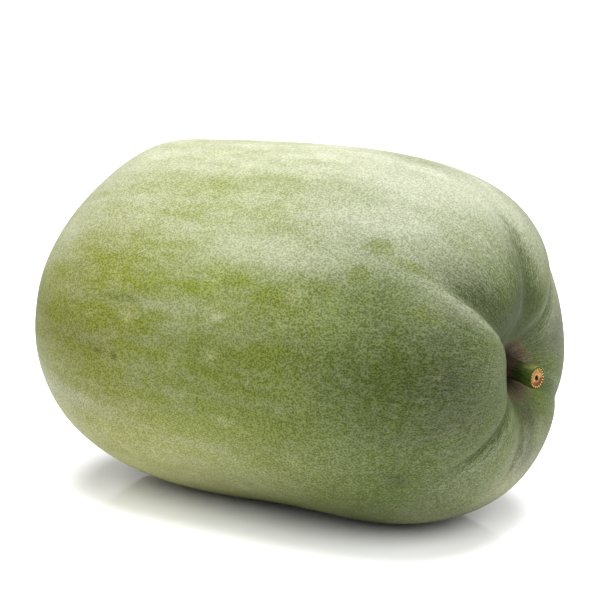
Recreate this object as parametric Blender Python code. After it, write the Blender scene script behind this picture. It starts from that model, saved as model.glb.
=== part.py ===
"""A winter melon lying on its side, with the cut stub of its stem.

Metres, +Z up. The fruit lies along X with its stem end at +X. The origin is on the surface
that it lies on, under the middle of the whole model.

Places on the skin are given by a polar angle, 0 at the stem's pole and pi at the blossom's,
and by a clock angle in degrees round the fruit: 0 on top, 90 in front (-Y), 180 underneath
and 270 behind.
"""
from collections import namedtuple

import bmesh
import bpy
import numpy as np
from mathutils import Vector

# Driving dimensions of the fruit
FRUIT_DIAMETER = 0.250
FRUIT_LENGTH = 0.380
BELLY_FLAT = 0.0045

# How square the shoulders are and how flat the ends are: lower is squarer and flatter
SHOULDER_POWER = {"stem": 0.53, "blossom": 0.475}
END_POWER = {"stem": 0.77, "blossom": 0.85}

# The cross-section is a little taller than wide, and faintly three-sided
TALLER = 0.025
THREE_SIDED = 0.022

# The stem's cavity: a wide dip with a narrow well in it, a little below the middle of the end
DIP_DEPTH, DIP_RADIUS = 0.010, 0.045
WELL_DEPTH, WELL_RADIUS = 0.021, 0.0215
CAVITY_DROP, CAVITY_DROP_RADIUS = 0.005, 0.060

# The folds that run out of the cavity over the shoulder. Widths are of the flank towards the
# lower clock angle and the higher one, rounding is of the fold's bottom, reach is measured
# along the skin from the pole, and swell is how full the lobe is between this fold and the
# next one.
Fold = namedtuple("Fold", "clock depth low_flank high_flank rounding reach swell")
FOLDS = (
    Fold(48, depth=0.0090, low_flank=0.016, high_flank=0.0050, rounding=0.0030, reach=0.150, swell=0.0010),
    Fold(131, depth=0.0045, low_flank=0.0045, high_flank=0.008, rounding=0.0025, reach=0.150, swell=0.0010),
    Fold(168, depth=0.0020, low_flank=0.006, high_flank=0.006, rounding=0.0025, reach=0.130, swell=0.0005),
    Fold(238, depth=0.0035, low_flank=0.008, high_flank=0.010, rounding=0.0025, reach=0.130, swell=0.0000),
    Fold(314, depth=0.0045, low_flank=0.013, high_flank=0.005, rounding=0.0025, reach=0.140, swell=0.0000),
    Fold(357, depth=0.0062, low_flank=0.008, high_flank=0.020, rounding=0.0060, reach=0.150, swell=0.0005),
)
FOLD_START = (0.006, 0.030)
SWELL_START = (0.015, 0.055)
SWELL_END = (0.090, 0.190)

# Broad hollows and swellings that the fruit grew with: place along the axis, clock angle,
# half length, half width in degrees, and height (a hollow's is negative)
Swelling = namedtuple("Swelling", "x clock half_length half_width height")
SWELLINGS = (
    Swelling(x=-0.155, clock=25, half_length=0.035, half_width=27, height=-0.0030),
    Swelling(x=-0.165, clock=115, half_length=0.040, half_width=30, height=0.0015),
    Swelling(x=-0.115, clock=355, half_length=0.025, half_width=30, height=0.0025),
    Swelling(x=0.020, clock=350, half_length=0.080, half_width=30, height=0.0030),
    Swelling(x=0.020, clock=165, half_length=0.045, half_width=25, height=-0.0028),
    Swelling(x=0.175, clock=305, half_length=0.025, half_width=28, height=-0.0030),
)

# Faint ridges along the body
RIDGE_COUNT = 11
RIDGE_HEIGHT = 0.0004

# The blossom end's shallow dimple and the small scar in it
DIMPLE_DEPTH, DIMPLE_RADIUS = 0.004, 0.022
SCAR_HEIGHT, SCAR_RADIUS = 0.0012, 0.0060

# The stem: its width, the wider foot that sits in the fruit, and the cut face
STEM_DIAMETER = 0.0130
STEM_FOOT_DIAMETER = 0.0170
STEM_FOOT_FADE = 0.0035
STEM_LENGTH = 0.0320
STEM_SEAT = 0.0040
STEM_DROOP = 0.0042
STEM_ANGLES = 5
STEM_ANGLE_HEIGHT = 0.06
CUT_SLANT = 0.32
CUT_TALLER = 0.16
CUT_EDGE = 0.0005
CUT_DISH = 0.0004
PITH_DIAMETER = 0.0026
PITH_DEPTH = 0.0050
GAP = 0.0003

# Mesh fineness. The rings lie closer together round these distances from either pole.
Crowding = namedtuple("Crowding", "half_length amount")
STEM_END_CROWDING = (Crowding(0.045, 4.0), Crowding(0.110, 1.5))
BLOSSOM_END_CROWDING = (Crowding(0.012, 5.0), Crowding(0.090, 1.0))
FRUIT_SEGMENTS, FRUIT_RINGS = 96, 46
STEM_SEGMENTS, STEM_WALL_RINGS = 40, 10
SOCKET_SEGMENTS = 40

FRUIT_GREEN = (0.188, 0.235, 0.092, 1.0)
STEM_GREEN = (0.075, 0.085, 0.022, 1.0)


def clear_scene():
    for obj in list(bpy.data.objects):
        bpy.data.objects.remove(obj, do_unlink=True)


def new_collection(name):
    collection = bpy.data.collections.new(name)
    bpy.context.scene.collection.children.link(collection)
    return collection


def plain_material(name, colour, roughness):
    material = bpy.data.materials.new(name)
    material.use_nodes = True
    shader = material.node_tree.nodes["Principled BSDF"]
    shader.inputs["Base Color"].default_value = colour
    shader.inputs["Roughness"].default_value = roughness
    shader.inputs["Metallic"].default_value = 0.0
    return material


def smooth_step(low, high, value):
    """0 below low, 1 above high, with a soft rise between."""
    share = np.clip((value - low) / (high - low), 0.0, 1.0)
    return share * share * (3.0 - 2.0 * share)


def degrees_from(centre, clock):
    """How far a clock angle lies past a centre, from -180 to 180."""
    return (clock - centre + 180.0) % 360.0 - 180.0


def bump(value, half_width):
    return np.exp(-(value / half_width) ** 2)


def meridian(polar):
    """Place along the axis and distance from it, for the fruit with no folds or cavity."""
    cosine = np.cos(polar)
    at_stem = cosine > 0.0
    shoulder = np.where(at_stem, SHOULDER_POWER["stem"], SHOULDER_POWER["blossom"])
    end = np.where(at_stem, END_POWER["stem"], END_POWER["blossom"])
    along = 0.5 * FRUIT_LENGTH * np.sign(cosine) * np.abs(cosine) ** shoulder
    radius = 0.5 * FRUIT_DIAMETER * np.abs(np.sin(polar)) ** end
    return along, radius


def meridian_normal(polar):
    """The outward direction at the meridian, as its parts along the axis and away from it."""
    step = 1e-4
    inner = np.clip(polar, 2.0 * step, np.pi - 2.0 * step)
    along_0, radius_0 = meridian(inner - step)
    along_1, radius_1 = meridian(inner + step)
    length = np.hypot(along_1 - along_0, radius_1 - radius_0)
    return (radius_1 - radius_0) / length, (along_0 - along_1) / length


POLAR_STEPS = np.linspace(0.0, np.pi, 4001)
STEP_ALONG, STEP_RADIUS = meridian(POLAR_STEPS)
STEP_LENGTHS = np.hypot(np.diff(STEP_ALONG), np.diff(STEP_RADIUS))
SKIN_LENGTHS = np.concatenate(([0.0], np.cumsum(STEP_LENGTHS)))


def skin_length(polar):
    """Distance along the skin from the stem's pole."""
    return np.interp(polar, POLAR_STEPS, SKIN_LENGTHS)


def fold_relief(polar, clock, radius):
    """Height of the folds (below zero) and of the lobes between them (above zero)."""
    length = skin_length(polar)
    relief = np.zeros_like(length + clock)
    for fold, following in zip(FOLDS, FOLDS[1:] + FOLDS[:1]):
        aside = np.radians(degrees_from(fold.clock, clock)) * radius
        flank = np.where(aside < 0.0, fold.low_flank, fold.high_flank)
        crease = np.exp((fold.rounding - np.hypot(aside, fold.rounding)) / flank)
        rise = smooth_step(*FOLD_START, length)
        fade = 1.0 - smooth_step(0.4 * fold.reach, fold.reach, length)
        relief = relief - fold.depth * crease * rise * fade

        span = (following.clock - fold.clock) % 360.0
        across = ((clock - fold.clock) % 360.0) / span
        arch = np.where(across < 1.0, np.sin(np.pi * np.clip(across, 0.0, 1.0)), 0.0)
        rise = smooth_step(*SWELL_START, length)
        fade = 1.0 - smooth_step(*SWELL_END, length)
        relief = relief + fold.swell * arch * rise * fade
    return relief


def uneven_relief(along, clock):
    """Height of the broad swellings and of the faint ridges along the body."""
    relief = np.zeros_like(along + clock)
    for swelling in SWELLINGS:
        lengthwise = bump(along - swelling.x, swelling.half_length)
        round_about = bump(degrees_from(swelling.clock, clock), swelling.half_width)
        relief = relief + swelling.height * lengthwise * round_about
    body = 1.0 - (2.0 * along / FRUIT_LENGTH) ** 2
    return relief + RIDGE_HEIGHT * body * np.cos(RIDGE_COUNT * np.radians(clock))


def cavity_rise(radius):
    """How far the cavity's wall has risen from its floor, at a distance from its middle."""
    dip = DIP_DEPTH * (1.0 - bump(radius, DIP_RADIUS))
    return dip + WELL_DEPTH * (1.0 - bump(radius, WELL_RADIUS))


def free_skin(polar, clock):
    """The skin about the fruit's own axis, before the belly is pressed flat."""
    along, radius = meridian(polar)
    out_along, out_radius = meridian_normal(polar)
    relief = fold_relief(polar, clock, radius) + uneven_relief(along, clock)
    angle = np.radians(clock)
    section = 1.0 + TALLER * np.cos(2.0 * angle) - THREE_SIDED * np.sin(3.0 * angle)

    stem_side = along > 0.0
    hollow = DIP_DEPTH + WELL_DEPTH - cavity_rise(radius)
    scar = SCAR_HEIGHT * (1.0 - smooth_step(0.8 * SCAR_RADIUS, SCAR_RADIUS, radius))
    dimple = DIMPLE_DEPTH * bump(radius, DIMPLE_RADIUS) - scar
    x = along + relief * out_along + np.where(stem_side, -hollow, dimple)
    distance = (radius + relief * out_radius) * section
    drop = np.where(stem_side, CAVITY_DROP * bump(radius, CAVITY_DROP_RADIUS), 0.0)
    return x, -distance * np.sin(angle), distance * np.cos(angle) - drop


def lowest_skin():
    polar, clock = np.meshgrid(np.linspace(0.01, np.pi - 0.01, 300), np.arange(90.0, 270.0, 1.0))
    return free_skin(polar, clock)[2].min()


AXIS_HEIGHT = -lowest_skin() - BELLY_FLAT


def skin(polar, clock):
    """Points of the finished skin, with the belly flat on z = 0."""
    x, y, z = free_skin(polar, clock)
    return np.stack((x, y, np.maximum(z + AXIS_HEIGHT, 0.0)), axis=-1)


def ring_angles(count):
    """Polar angles of the rings, closest together in the cavity, the folds and the scar."""
    from_stem = 0.5 * (SKIN_LENGTHS[1:] + SKIN_LENGTHS[:-1])
    from_blossom = SKIN_LENGTHS[-1] - from_stem
    crowding = np.ones_like(from_stem)
    for zones, distance in ((STEM_END_CROWDING, from_stem), (BLOSSOM_END_CROWDING, from_blossom)):
        for zone in zones:
            crowding += zone.amount * bump(distance, zone.half_length)
    share = np.concatenate(([0.0], np.cumsum(crowding * STEP_LENGTHS)))
    return np.interp(np.linspace(0.0, share[-1], count + 1), share, POLAR_STEPS)


def sphere_rings(segments, rings):
    """A sphere's bmesh, with each vertex's ring number and its angle round the axis."""
    mesh = bmesh.new()
    bmesh.ops.create_uvsphere(mesh, u_segments=segments, v_segments=rings, radius=1.0)
    places = np.array([vertex.co for vertex in mesh.verts])
    polar = np.arccos(np.clip(places[:, 2], -1.0, 1.0))
    ring = np.rint(polar / np.pi * rings).astype(int)
    round_about = np.degrees(np.arctan2(places[:, 1], places[:, 0])) % 360.0
    return mesh, ring, round_about


def finish_object(name, mesh, collection, material):
    data = bpy.data.meshes.new(name)
    mesh.to_mesh(data)
    mesh.free()
    data.materials.append(material)
    data.shade_smooth()
    obj = bpy.data.objects.new(name, data)
    collection.objects.link(obj)
    return obj


def make_fruit(collection):
    mesh, ring, clock = sphere_rings(FRUIT_SEGMENTS, FRUIT_RINGS)
    points = skin(ring_angles(FRUIT_RINGS)[ring], clock)
    for vertex, point in zip(mesh.verts, points):
        vertex.co = point
    return finish_object("fruit", mesh, collection, plain_material("fruit_skin", FRUIT_GREEN, 0.55))


def cavity_floor():
    """The bottom of the cavity, where the stem grows out."""
    return Vector(skin(np.array([1e-6]), np.array([0.0]))[0])


def stem_foot_top():
    """Where the foot's wall ends, level with the cavity's wall at its edge."""
    return STEM_SEAT + cavity_rise(0.5 * STEM_FOOT_DIAMETER)


def stem_profile():
    """Rings of the stem from the middle of its foot, up its wall and over the cut face to the
    bottom of the pith: how far along it each one lies, its radius, and how much of the ribs
    it shows."""
    foot = 0.5 * STEM_FOOT_DIAMETER
    edge = 0.5 * STEM_DIAMETER
    pith = 0.5 * PITH_DIAMETER
    rings = [(0.0, 0.0, 0.0), (0.0, foot, 0.0), (stem_foot_top(), foot, 0.0)]
    for along in np.linspace(stem_foot_top(), STEM_LENGTH - CUT_EDGE, STEM_WALL_RINGS + 1)[1:]:
        fade = np.exp(-(along - stem_foot_top()) / STEM_FOOT_FADE)
        rings.append((along, edge + (foot - edge) * fade, 1.0 - fade))
    rings.append((STEM_LENGTH, edge - CUT_EDGE, 1.0))
    rings.append((STEM_LENGTH - CUT_DISH, edge - 3.0 * CUT_EDGE, 0.5))
    rings.append((STEM_LENGTH - CUT_DISH, pith + CUT_EDGE, 0.0))
    rings.append((STEM_LENGTH - CUT_DISH - CUT_EDGE, pith, 0.0))
    rings.append((STEM_LENGTH - PITH_DEPTH, pith, 0.0))
    rings.append((STEM_LENGTH - PITH_DEPTH, 0.0, 0.0))
    return np.array(rings)


def make_stem(collection, floor):
    """The cut stub, standing in its socket along +X and drooping towards its tip."""
    profile = stem_profile()
    mesh, ring, round_about = sphere_rings(STEM_SEGMENTS, len(profile) - 1)
    along, radius, ribbing = profile[len(profile) - 1 - ring].T
    angle = np.radians(round_about)
    ribs = 1.0 + STEM_ANGLE_HEIGHT * ribbing * np.cos(STEM_ANGLES * angle)
    near_cut = smooth_step(0.5 * STEM_LENGTH, STEM_LENGTH, along)
    side = radius * ribs * np.cos(angle)
    up = radius * ribs * np.sin(angle) * (1.0 + CUT_TALLER * near_cut)
    bent = smooth_step(stem_foot_top(), STEM_LENGTH, along)
    x = floor.x - STEM_SEAT + GAP + along + CUT_SLANT * near_cut * side
    y = floor.y + side
    z = floor.z + up - STEM_DROOP * bent
    for vertex, point in zip(mesh.verts, np.stack((x, y, z), axis=-1)):
        vertex.co = point
    return finish_object("stem", mesh, collection, plain_material("stem", STEM_GREEN, 0.7))


def cut_socket(fruit, cutters, floor):
    """The plain round seat of the stem's foot in the floor of the cavity."""
    mesh = bmesh.new()
    radius = 0.5 * STEM_FOOT_DIAMETER + GAP
    depth = 4.0 * STEM_SEAT
    bmesh.ops.create_cone(mesh, cap_ends=True, segments=SOCKET_SEGMENTS,
                          radius1=radius, radius2=radius, depth=depth)
    data = bpy.data.meshes.new("stem_socket_cutter")
    mesh.to_mesh(data)
    mesh.free()
    cutter = bpy.data.objects.new("stem_socket_cutter", data)
    cutter.rotation_euler = (0.0, np.pi / 2.0, 0.0)
    cutter.location = floor + Vector((0.5 * depth - STEM_SEAT, 0.0, 0.0))
    cutter.display_type = 'WIRE'
    cutter.hide_render = True
    cutters.objects.link(cutter)
    socket = fruit.modifiers.new("stem socket", 'BOOLEAN')
    socket.operation = 'DIFFERENCE'
    socket.object = cutter


def centre_over_origin(objects):
    """Moves everything so that the model's box stands on the origin."""
    bpy.context.view_layer.update()
    corners = np.array([obj.matrix_world @ Vector(corner)
                        for obj in objects if not obj.hide_render for corner in obj.bound_box])
    middle = 0.5 * (corners.min(axis=0) + corners.max(axis=0))
    for obj in objects:
        obj.location -= Vector((middle[0], middle[1], 0.0))


def main():
    clear_scene()
    melon = new_collection("winter_melon")
    cutters = new_collection("cutters")
    fruit = make_fruit(melon)
    floor = cavity_floor()
    stem = make_stem(melon, floor)
    cut_socket(fruit, cutters, floor)
    centre_over_origin([fruit, stem, *cutters.objects])


main()
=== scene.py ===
"""The looks of a winter melon that lies on its side: its skin, the cut stub of its stem, the
floor, the light and the camera.

Metres, +Z up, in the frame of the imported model: the fruit lies along X with its stem end at
+X. Places on the skin are given by a polar angle, 0 at the stem's pole and pi at the
blossom's, and by a clock angle in degrees: 0 on top, 90 in front (-Y), 180 underneath and
270 behind.
"""
from collections import namedtuple

import bpy
import numpy as np
from mathutils import Matrix, Vector


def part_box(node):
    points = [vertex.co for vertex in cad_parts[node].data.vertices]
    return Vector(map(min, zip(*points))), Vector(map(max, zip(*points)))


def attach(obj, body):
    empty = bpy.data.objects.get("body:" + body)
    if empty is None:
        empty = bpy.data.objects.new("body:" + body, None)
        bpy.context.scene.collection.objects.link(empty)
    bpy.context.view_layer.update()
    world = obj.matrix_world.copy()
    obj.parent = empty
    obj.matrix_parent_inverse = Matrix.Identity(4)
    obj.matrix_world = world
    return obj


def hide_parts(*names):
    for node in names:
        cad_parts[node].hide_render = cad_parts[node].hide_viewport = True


# The fruit's form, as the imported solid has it
FRUIT_DIAMETER = 0.250
FRUIT_LENGTH = 0.380
BELLY_FLAT = 0.0045
SHOULDER_POWER = {"stem": 0.53, "blossom": 0.475}
END_POWER = {"stem": 0.77, "blossom": 0.85}
TALLER = 0.025
THREE_SIDED = 0.022
DIP_DEPTH, DIP_RADIUS = 0.010, 0.045
WELL_DEPTH, WELL_RADIUS = 0.021, 0.0215
CAVITY_DROP, CAVITY_DROP_RADIUS = 0.005, 0.060

# The folds that run out from the cavity. Each has a flank on either side, a rounded bottom and
# a reach along the skin; the lobe that follows it swells up.
Fold = namedtuple("Fold", "clock depth low_flank high_flank rounding reach swell")
FOLDS = (
    Fold(48, depth=0.0090, low_flank=0.016, high_flank=0.0050, rounding=0.0030, reach=0.150, swell=0.0010),
    Fold(131, depth=0.0045, low_flank=0.0045, high_flank=0.008, rounding=0.0025, reach=0.150, swell=0.0010),
    Fold(168, depth=0.0020, low_flank=0.006, high_flank=0.006, rounding=0.0025, reach=0.130, swell=0.0005),
    Fold(238, depth=0.0035, low_flank=0.008, high_flank=0.010, rounding=0.0025, reach=0.130, swell=0.0000),
    Fold(314, depth=0.0045, low_flank=0.013, high_flank=0.005, rounding=0.0025, reach=0.140, swell=0.0000),
    Fold(357, depth=0.0062, low_flank=0.008, high_flank=0.020, rounding=0.0060, reach=0.150, swell=0.0005),
)
# Where a fold sets in, the part of its reach that has the full depth, and where the lobes rise
# and fade, as distances from the stem's pole
FOLD_START = (0.006, 0.030)
FOLD_FULL = 0.4
SWELL_START = (0.015, 0.055)
SWELL_END = (0.090, 0.190)

# A soft patch or a broad swelling: its place and half its length in metres, its clock angle and
# half its width in degrees, and how strong or high it is. The place is along the fruit, or on
# the stem end the distance from the fruit's axis.
Patch = namedtuple("Patch", "at clock half_length half_width amount")
SWELLINGS = (
    Patch(at=-0.155, clock=25, half_length=0.035, half_width=27, amount=-0.0030),
    Patch(at=-0.165, clock=115, half_length=0.040, half_width=30, amount=0.0015),
    Patch(at=-0.115, clock=355, half_length=0.025, half_width=30, amount=0.0025),
    Patch(at=0.020, clock=350, half_length=0.080, half_width=30, amount=0.0030),
    Patch(at=0.020, clock=165, half_length=0.045, half_width=25, amount=-0.0028),
    Patch(at=0.175, clock=305, half_length=0.025, half_width=28, amount=-0.0030),
)
RIDGE_COUNT = 11
RIDGE_HEIGHT = 0.0004

# The blossom end: a dimple with a low round scar, flat over this part of its radius
DIMPLE_DEPTH, DIMPLE_RADIUS = 0.004, 0.022
SCAR_HEIGHT, SCAR_RADIUS = 0.0012, 0.0060
SCAR_FLAT = 0.8

# The stem's form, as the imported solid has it
STEM_DIAMETER = 0.0130
STEM_FOOT_DIAMETER = 0.0170
STEM_FOOT_FADE = 0.0035
STEM_LENGTH = 0.0320
STEM_SEAT = 0.0040
STEM_DROOP = 0.0042
STEM_ANGLES = 5
STEM_ANGLE_HEIGHT = 0.06
CUT_SLANT = 0.32
CUT_TALLER = 0.16
CUT_DISH = 0.0004
PITH_DIAMETER = 0.0026
PITH_DEPTH = 0.0050
GAP = 0.0003

# The rounded edge of the cut face: its size, and as parts of that how far down and in its
# middle ring lies and how far in the face starts. The dish starts within this part of the face.
CUT_EDGE = 0.0005
CUT_EDGE_DOWN, CUT_EDGE_IN = 0.3, 0.4
CUT_FACE_IN = 1.4
CUT_DISH_RIM = 0.3

# Mesh fineness, with rings crowded together at either end, and how much the skin draws in to
# stay inside the solid's box
MERIDIAN_STEPS = 4000
SKIN_SEGMENTS, SKIN_RINGS = 400, 236
Crowding = namedtuple("Crowding", "half_length amount")
STEM_END_CROWDING = (Crowding(0.045, 2.0), Crowding(0.110, 1.0))
BLOSSOM_END_CROWDING = (Crowding(0.014, 3.0), Crowding(0.090, 0.5))
STEM_SEGMENTS, STEM_WALL_RINGS, CUT_FACE_RINGS = 160, 60, 14
DRAW_IN = 0.00006

# The stem's fine relief: ribs over the five angles, and vessel ends round the cut face
STEM_RIBS = 20
STEM_RIB_HEIGHT = 0.012
VESSEL_HEIGHT = 0.00035
VESSEL_RING, VESSEL_RING_WIDTH = 0.80, 0.10

# How much of the angles is lost at the cut, how narrow their pale lines are, and how far the
# redder side of the cut face is turned from its lowest point, in radians
ANGLES_LOST = 0.7
STEM_ANGLE_SHARPNESS = 3
STEM_LOW_TURN = -0.35

# Looks of the skin, as soft patches. The bloom is thicker where the amount is above zero and
# thinner where it is below.
BLOOM_PATCHES = (
    Patch(at=0.000, clock=0, half_length=0.600, half_width=26, amount=0.57),
    Patch(at=0.000, clock=40, half_length=0.600, half_width=16, amount=0.20),
    Patch(at=0.140, clock=-15, half_length=0.035, half_width=20, amount=0.12),
    Patch(at=0.105, clock=28, half_length=0.045, half_width=16, amount=0.10),
    Patch(at=0.155, clock=25, half_length=0.028, half_width=28, amount=-0.07),
    Patch(at=0.045, clock=0, half_length=0.045, half_width=14, amount=-0.06),
    Patch(at=0.120, clock=56, half_length=0.022, half_width=8, amount=-0.05),
    Patch(at=0.138, clock=86, half_length=0.020, half_width=9, amount=-0.04),
    Patch(at=0.092, clock=70, half_length=0.026, half_width=8, amount=0.035),
    Patch(at=0.095, clock=115, half_length=0.030, half_width=10, amount=0.035),
    Patch(at=0.132, clock=152, half_length=0.025, half_width=14, amount=0.04),
    Patch(at=0.040, clock=53, half_length=0.045, half_width=7, amount=0.16),
    Patch(at=0.165, clock=55, half_length=0.025, half_width=12, amount=0.06),
    Patch(at=-0.150, clock=52, half_length=0.030, half_width=14, amount=0.11),
    Patch(at=-0.142, clock=112, half_length=0.032, half_width=18, amount=0.18),
    Patch(at=-0.010, clock=72, half_length=0.060, half_width=14, amount=0.06),
    Patch(at=-0.155, clock=78, half_length=0.030, half_width=10, amount=-0.03),
    Patch(at=0.030, clock=55, half_length=0.040, half_width=9, amount=-0.05),
    Patch(at=0.000, clock=25, half_length=0.085, half_width=5, amount=-0.12),
    Patch(at=0.095, clock=-4, half_length=0.035, half_width=5, amount=-0.15),
    Patch(at=-0.045, clock=70, half_length=0.045, half_width=7, amount=0.03),
    Patch(at=-0.140, clock=25, half_length=0.022, half_width=10, amount=0.06),
    Patch(at=0.015, clock=86, half_length=0.018, half_width=6, amount=-0.04),
    Patch(at=-0.105, clock=86, half_length=0.020, half_width=8, amount=-0.025),
    Patch(at=0.105, clock=10, half_length=0.050, half_width=10, amount=-0.05),
    Patch(at=0.015, clock=40, half_length=0.045, half_width=7, amount=0.08),
    Patch(at=-0.045, clock=55, half_length=0.018, half_width=6, amount=0.05),
    Patch(at=-0.030, clock=-6, half_length=0.035, half_width=8, amount=0.06),
    Patch(at=0.165, clock=-6, half_length=0.014, half_width=9, amount=0.05),
    Patch(at=0.165, clock=11, half_length=0.014, half_width=7, amount=-0.07),
    Patch(at=0.165, clock=5, half_length=0.016, half_width=24, amount=0.05),
    Patch(at=0.172, clock=-42, half_length=0.028, half_width=26, amount=0.26),
    Patch(at=0.180, clock=140, half_length=0.030, half_width=22, amount=0.12),
)
# The rind is darker where the amount is above zero and paler where it is below. The broad patch underneath,
# at clock 182, is painted contact shadow.
DARK_PATCHES = (
    Patch(at=0.150, clock=88, half_length=0.045, half_width=30, amount=0.22),
    Patch(at=-0.010, clock=84, half_length=0.160, half_width=10, amount=0.12),
    Patch(at=0.131, clock=126, half_length=0.008, half_width=4, amount=0.35),
    # Painted contact shadow along the underside where the fruit meets the floor
    Patch(at=-0.010, clock=182, half_length=0.100, half_width=19, amount=1.25),
    Patch(at=0.095, clock=114, half_length=0.030, half_width=13, amount=-0.25),
    Patch(at=-0.045, clock=68, half_length=0.045, half_width=8, amount=0.05),
    Patch(at=0.090, clock=70, half_length=0.022, half_width=7, amount=-0.25),
    Patch(at=0.075, clock=95, half_length=0.020, half_width=10, amount=-0.08),
    Patch(at=0.165, clock=85, half_length=0.018, half_width=24, amount=0.14),
    Patch(at=-0.140, clock=85, half_length=0.020, half_width=20, amount=-0.10),
    Patch(at=0.000, clock=92, half_length=0.030, half_width=12, amount=0.06),
)
# Small dark marks
MARK_PATCHES = (
    Patch(at=0.141, clock=79, half_length=0.0050, half_width=2.4, amount=0.95),
    Patch(at=0.136, clock=71, half_length=0.0050, half_width=1.7, amount=0.75),
    Patch(at=0.126, clock=85, half_length=0.0028, half_width=1.5, amount=0.45),
    Patch(at=-0.069, clock=91, half_length=0.0036, half_width=1.8, amount=0.90),
    Patch(at=-0.083, clock=90, half_length=0.0045, half_width=1.5, amount=0.75),
)
# Rubbed places, with a greener rind and less bloom
WORN_PATCHES = (
    Patch(at=0.112, clock=43, half_length=0.013, half_width=3.8, amount=0.90),
    Patch(at=0.136, clock=47, half_length=0.012, half_width=2.2, amount=0.80),
    Patch(at=0.106, clock=54, half_length=0.008, half_width=3.4, amount=0.85),
    Patch(at=0.086, clock=61, half_length=0.013, half_width=2.8, amount=0.65),
    Patch(at=0.098, clock=72, half_length=0.006, half_width=2.2, amount=0.60),
    Patch(at=0.150, clock=62, half_length=0.012, half_width=4.0, amount=0.60),
    Patch(at=-0.068, clock=72, half_length=0.024, half_width=1.9, amount=0.60),
    Patch(at=0.095, clock=-4, half_length=0.035, half_width=4.0, amount=0.40),
)
# Bloom and darkness on the stem end, by distance from the fruit's axis. The darkness is partly the rind's
# own and partly painted shade in the folds and below the stem.
END_BLOOM_PATCHES = (
    Patch(at=0.040, clock=-52, half_length=0.030, half_width=13, amount=0.17),
    Patch(at=0.070, clock=-22, half_length=0.020, half_width=12, amount=0.10),
    Patch(at=0.068, clock=54, half_length=0.022, half_width=5.5, amount=0.17),
    Patch(at=0.021, clock=-10, half_length=0.010, half_width=50, amount=0.08),
    Patch(at=0.074, clock=0, half_length=0.014, half_width=9, amount=0.06),
    Patch(at=0.055, clock=152, half_length=0.020, half_width=22, amount=0.06),
    Patch(at=0.078, clock=185, half_length=0.028, half_width=22, amount=0.05),
    Patch(at=0.065, clock=95, half_length=0.030, half_width=30, amount=0.04),
    Patch(at=0.050, clock=72, half_length=0.016, half_width=22, amount=0.05),
    Patch(at=0.035, clock=-54, half_length=0.020, half_width=9, amount=0.06),
    Patch(at=0.042, clock=9, half_length=0.011, half_width=26, amount=-0.08),
    Patch(at=0.055, clock=-80, half_length=0.030, half_width=22, amount=0.13),
    Patch(at=0.045, clock=200, half_length=0.016, half_width=9, amount=0.05),
    Patch(at=0.036, clock=182, half_length=0.012, half_width=9, amount=-0.08),
    Patch(at=0.078, clock=-52, half_length=0.026, half_width=10, amount=0.14),
    Patch(at=0.060, clock=50, half_length=0.022, half_width=4, amount=0.10),
)
# Partly painted shade: the patches near clocks 9 and 40 to 56 lie in the folds, and those near clocks 180 to
# 188 lie below the stem
END_DARK_AND_SHADE_PATCHES = (
    Patch(at=0.041, clock=9, half_length=0.013, half_width=28, amount=0.95),
    Patch(at=0.050, clock=-75, half_length=0.024, half_width=20, amount=0.50),
    Patch(at=0.085, clock=56, half_length=0.015, half_width=7, amount=0.20),
    Patch(at=0.045, clock=42, half_length=0.018, half_width=9, amount=0.40),
    Patch(at=0.082, clock=40, half_length=0.028, half_width=8, amount=0.35),
    Patch(at=0.030, clock=188, half_length=0.014, half_width=24, amount=0.50),
    Patch(at=0.082, clock=92, half_length=0.026, half_width=38, amount=0.12),
    Patch(at=0.068, clock=108, half_length=0.022, half_width=22, amount=0.16),
    Patch(at=0.060, clock=180, half_length=0.018, half_width=13, amount=0.42),
)
# Olive places
OLIVE_PATCHES = (
    Patch(at=-0.060, clock=61, half_length=0.065, half_width=5, amount=0.22),
    Patch(at=0.057, clock=66, half_length=0.014, half_width=5, amount=0.40),
    Patch(at=-0.145, clock=84, half_length=0.034, half_width=10, amount=0.95),
    Patch(at=-0.090, clock=89, half_length=0.030, half_width=6, amount=0.60),
)
# The pale spot where the fruit lay on the ground, and its reach up the front
GROUND_PATCHES = (
    Patch(at=-0.100, clock=160, half_length=0.085, half_width=25, amount=0.85),
    Patch(at=-0.050, clock=124, half_length=0.095, half_width=16, amount=0.28),
    Patch(at=-0.010, clock=200, half_length=0.110, half_width=30, amount=0.70),
    Patch(at=0.168, clock=178, half_length=0.020, half_width=20, amount=0.36),
    Patch(at=0.120, clock=162, half_length=0.022, half_width=12, amount=0.20),
    Patch(at=-0.090, clock=145, half_length=0.040, half_width=9, amount=0.20),
    Patch(at=-0.005, clock=145, half_length=0.035, half_width=7, amount=0.08),
)
# How far from the blossom's pole the patches even out, and the clock angles whose mean they take
POLE_EVENNESS = 0.055
CLOCK_SAMPLES = np.arange(0.0, 360.0, 15.0)

# Where the stem end's looks fade, as distances along the skin from the stem's pole
NEAR_STEM = (0.060, 0.150)

# Where the rind turns greener, where the bloom of the stem end sets in and where the rind is
# leaf green, as places along the fruit
GREENER = (-0.040, 0.155)
END_BLOOM_START = (0.110, 0.170)
LEAFY_X, LEAFY_HALF_LENGTH = 0.005, 0.060

# Where the stem end has no bloom of the body's kind, and its stained and dark brown zones and its painted
# shade deep in the cavity round the stem, as distances from the axis. The dirt reaches furthest towards one
# clock angle.
BARE = (0.035, 0.118)
STAIN_ZONES = {"stain": (0.0145, 0.0235), "cavity": (0.013, 0.021), "painted_hole_shade": (0.009, 0.016)}
STAIN_CLOCK, STAIN_LEAN = 240, 0.16

# The blossom scar's colour reaches a little past its edge
SCAR_SPREAD = 1.1

# A crease is darker the deeper its fold, partly the rind's own darker green and partly painted shade, and a
# pale crest, partly bloom and partly painted highlight, runs beside it. The first two are powers: of the
# fold's depth, and of the depth of a place in it.
CREASE_BY_DEPTH, CREASE_SPREAD = 0.30, 0.85
CREST_ASIDE, CREST_HALF_WIDTH = 0.0075, 0.0030

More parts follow.
